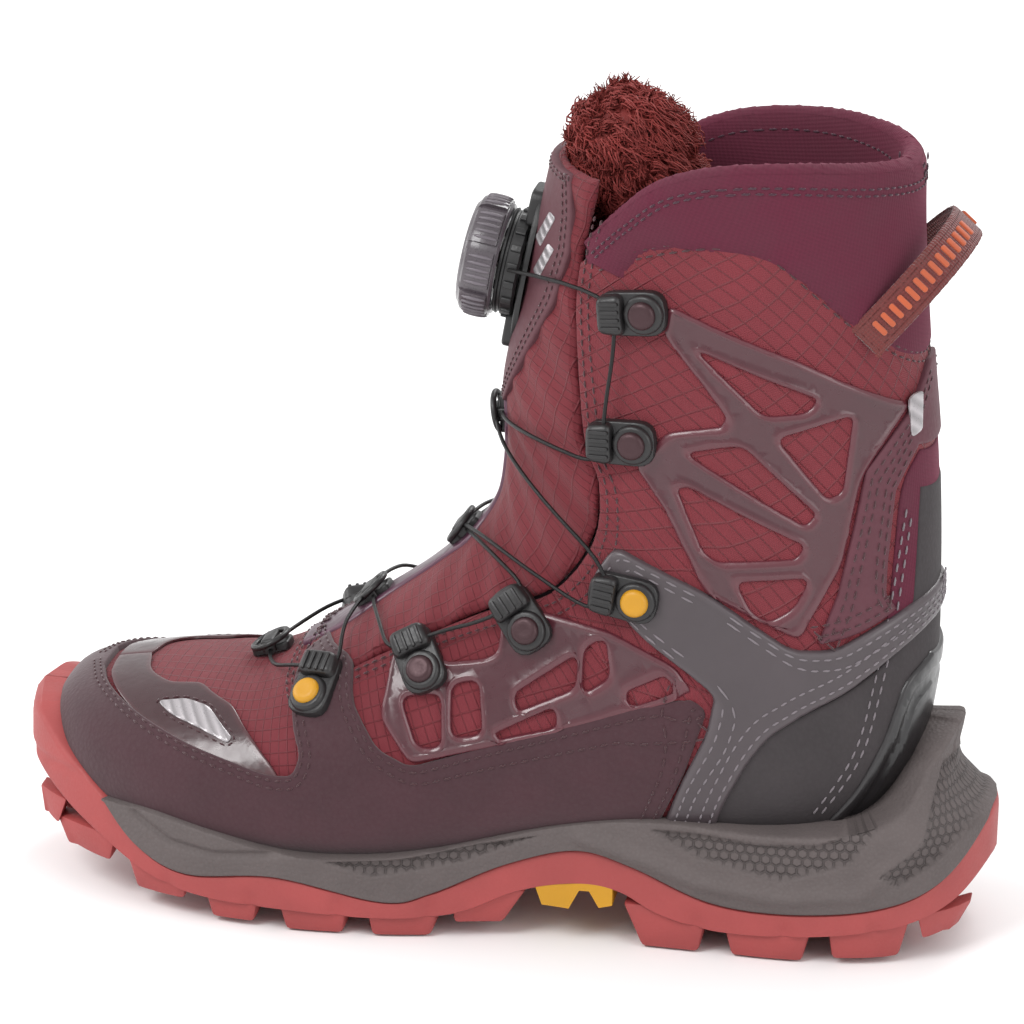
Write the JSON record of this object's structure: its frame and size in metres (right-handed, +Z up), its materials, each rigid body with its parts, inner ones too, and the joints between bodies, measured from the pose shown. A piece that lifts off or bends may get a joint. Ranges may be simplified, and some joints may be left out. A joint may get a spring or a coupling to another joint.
{
  "type": "winter hiking boot",
  "caption": "Ankle-high left winter hiking boot with lugged rubber outsole, foam midsole, fleece-lined upper and a wire lacing closure tightened by a dial on the tongue.",
  "frame": {"origin": "middle of the boot's plan, on the ground that the lugs stand on", "axes": "+Z up; the toe points along -X and the heel along +X; the outer side of this left boot faces -Y"},
  "size_m": [0.2952, 0.108, 0.2569],
  "materials": {
    "ripstop": "matt woven ripstop",
    "lining_fleece": "soft brushed",
    "collar_neoprene": "fine knit over foam",
    "rand_nubuck": "sueded",
    "web_film": "satin, moulded",
    "saddle_film": "semi-gloss",
    "heel_knit": "matt woven",
    "strap_leather": "smooth grain",
    "clip_plastic": "satin",
    "toe_film": "glossy",
    "reflective": "silver reflective",
    "tongue_leather": "smooth grain",
    "fur": "curly pile",
    "outsole_rubber": "moulded, matt",
    "midsole_foam": "pebbled foam",
    "arch_plastic": "moulded",
    "board": "fibre board",
    "shank_steel": "plain",
    "footbed_foam": "felted",
    "guide_plastic": "moulded",
    "rivet_brown": "satin",
    "rivet_yellow": "satin",
    "lace_wire": "nylon coated",
    "reel_plastic": "moulded",
    "spool_plastic": "plain",
    "carrier_metal": "plain",
    "knob_rubber": "smoke grey, ribbed",
    "webbing": "woven tape"
  },
  "bodies": {
    "boot": {"outsole": "outsole_rubber", "midsole": "midsole_foam", "arch_insert": "arch_plastic", "shank_plate": "shank_steel", "lasting_board": "board", "footbed": "footbed_foam", "upper_shell": "ripstop", "inner_lining": "lining_fleece", "collar": "collar_neoprene", "toe_rand": "rand_nubuck", "heel_strap": "strap_leather", "heel_panel": "heel_knit", "heel_clip": "clip_plastic", "toe_hook": "guide_plastic", "lace_wire": "lace_wire", "ankle_web_outer": "web_film", "forefoot_web_outer": "web_film", "saddle_outer": "saddle_film", "toe_film_outer": "toe_film", "toe_reflector_outer": "reflective", "lace_guide_1_outer": "guide_plastic", "guide_rivet_1_outer": "rivet_brown", "lace_guide_2_outer": "guide_plastic", "guide_rivet_2_outer": "rivet_brown", "lace_guide_3_outer": "guide_plastic", "guide_rivet_3_outer": "rivet_yellow", "lace_guide_4_outer": "guide_plastic", "guide_rivet_4_outer": "rivet_brown", "lace_guide_5_outer": "guide_plastic", "guide_rivet_5_outer": "rivet_brown", "lace_guide_6_outer": "guide_plastic", "guide_rivet_6_outer": "rivet_yellow", "ankle_web_inner": "web_film", "forefoot_web_inner": "web_film", "saddle_inner": "saddle_film", "toe_film_inner": "toe_film", "toe_reflector_inner": "reflective", "lace_guide_1_inner": "guide_plastic", "guide_rivet_1_inner": "rivet_brown", "lace_guide_2_inner": "guide_plastic", "guide_rivet_2_inner": "rivet_brown", "lace_guide_3_inner": "guide_plastic", "guide_rivet_3_inner": "rivet_yellow", "lace_guide_4_inner": "guide_plastic", "guide_rivet_4_inner": "rivet_brown", "lace_guide_5_inner": "guide_plastic", "guide_rivet_5_inner": "rivet_brown", "lace_guide_6_inner": "guide_plastic", "guide_rivet_6_inner": "rivet_yellow"},
    "tongue": {"tongue": "tongue_leather", "tongue_fur": "fur", "reel_base": "reel_plastic", "reel_housing": "reel_plastic", "tongue_keeper_upper": "guide_plastic", "tongue_keeper_middle": "guide_plastic", "tongue_keeper_lower": "guide_plastic"},
    "knob_carrier": {"knob_carrier": "carrier_metal"},
    "knob": {"dial_knob": "knob_rubber", "reel_spool": "spool_plastic"},
    "pull_loop": {"pull_loop": "webbing"}
  },
  "joints": [
    {"name": "tongue_open", "type": "hinge", "parent": "boot", "child": "tongue", "pos_m": [-0.06286, -0.00055, 0.0765], "axis": [0, -1, 0], "range_deg": [0, 10], "deforming": ["lace_wire"]},
    {"name": "dial_pull", "type": "slide", "parent": "tongue", "child": "knob_carrier", "axis": [-0.9852, 0, 0.1713], "range_m": [0, 0.0025]},
    {"name": "dial_turn", "type": "hinge", "parent": "knob_carrier", "child": "knob", "pos_m": [0.00351, -0.00055, 0.196], "axis": [-0.9852, 0, 0.1713], "continuous": true},
    {"name": "pull_loop_swing", "type": "hinge", "parent": "boot", "child": "pull_loop", "pos_m": [0.10464, -0.00055, 0.188], "axis": [0, 1, 0], "range_deg": [0, 50]}
  ]
}
